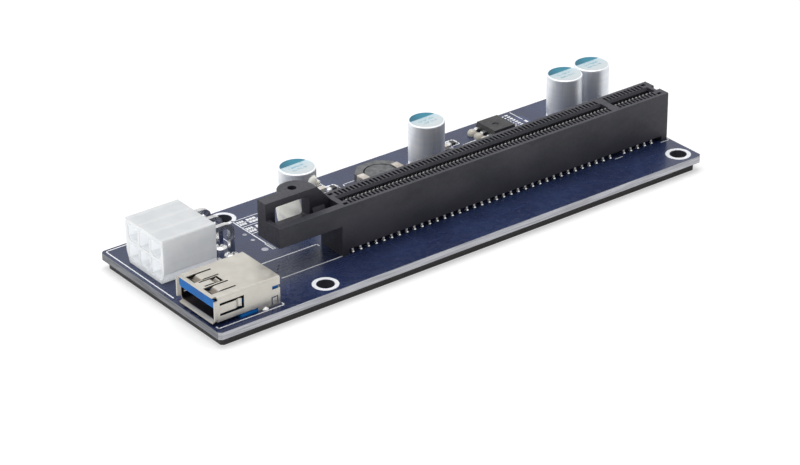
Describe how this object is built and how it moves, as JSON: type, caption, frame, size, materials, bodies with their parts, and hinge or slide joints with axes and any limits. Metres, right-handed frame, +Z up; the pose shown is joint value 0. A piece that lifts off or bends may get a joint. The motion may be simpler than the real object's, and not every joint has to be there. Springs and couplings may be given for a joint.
{
  "type": "pcie riser card",
  "caption": "Powered riser card: a board on a foam pad with a full-length card slot and its retention arm, a USB socket, a power header and a small step-down supply.",
  "frame": {"origin": "middle of the underside of the foam pad, where the card stands", "axes": "+Z up through the board, +X along the card slot from its retention arm to its closed end, +Y from the card slot's side to the power header's side"},
  "size_m": [0.1274, 0.0434, 0.0186],
  "materials": {
    "pad_foam": "matt closed-cell foam",
    "board_laminate": "glass-fibre laminate under a dark blue mask",
    "slot_plastic": "satin moulding",
    "contact_metal": "plated",
    "shell_steel": "satin nickel",
    "insulator_plastic": "satin moulding",
    "header_plastic": "milky natural nylon",
    "pin_metal": "tin plated",
    "can_metal": "drawn, satin",
    "seal_rubber": "matt",
    "ferrite": "matt, fired",
    "coil_wire": "enamelled",
    "plated_metal": "tin plated",
    "package_epoxy": "moulded epoxy",
    "chip_ceramic": "fired",
    "lamp_resin": "clear resin over a pale phosphor"
  },
  "bodies": {
    "root": {"foam_pad": "pad_foam", "circuit_board": "board_laminate", "slot_housing": "slot_plastic", "slot_contacts_front": "contact_metal", "slot_contacts_rear": "contact_metal", "usb_shell": "shell_steel", "usb_insulator": "insulator_plastic", "usb_contacts": "contact_metal", "power_housing": "header_plastic", "power_pins_lower": "pin_metal", "power_pins_upper": "pin_metal", "capacitor_can_1": "can_metal", "capacitor_can_2": "can_metal", "capacitor_can_3": "can_metal", "capacitor_can_4": "can_metal", "capacitor_seals": "seal_rubber", "capacitor_leads": "plated_metal", "inductor_shield": "ferrite", "inductor_core": "ferrite", "inductor_winding": "coil_wire", "inductor_terminals": "plated_metal", "regulator_body": "package_epoxy", "regulator_leads": "plated_metal", "regulator_tab": "plated_metal", "converter_chip": "package_epoxy", "converter_leads": "plated_metal", "diode_body": "package_epoxy", "diode_terminals": "plated_metal", "chip_resistors": "package_epoxy", "chip_capacitors": "chip_ceramic", "chip_terminals": "plated_metal", "indicator_lamp": "lamp_resin"}
  },
  "joints": []
}
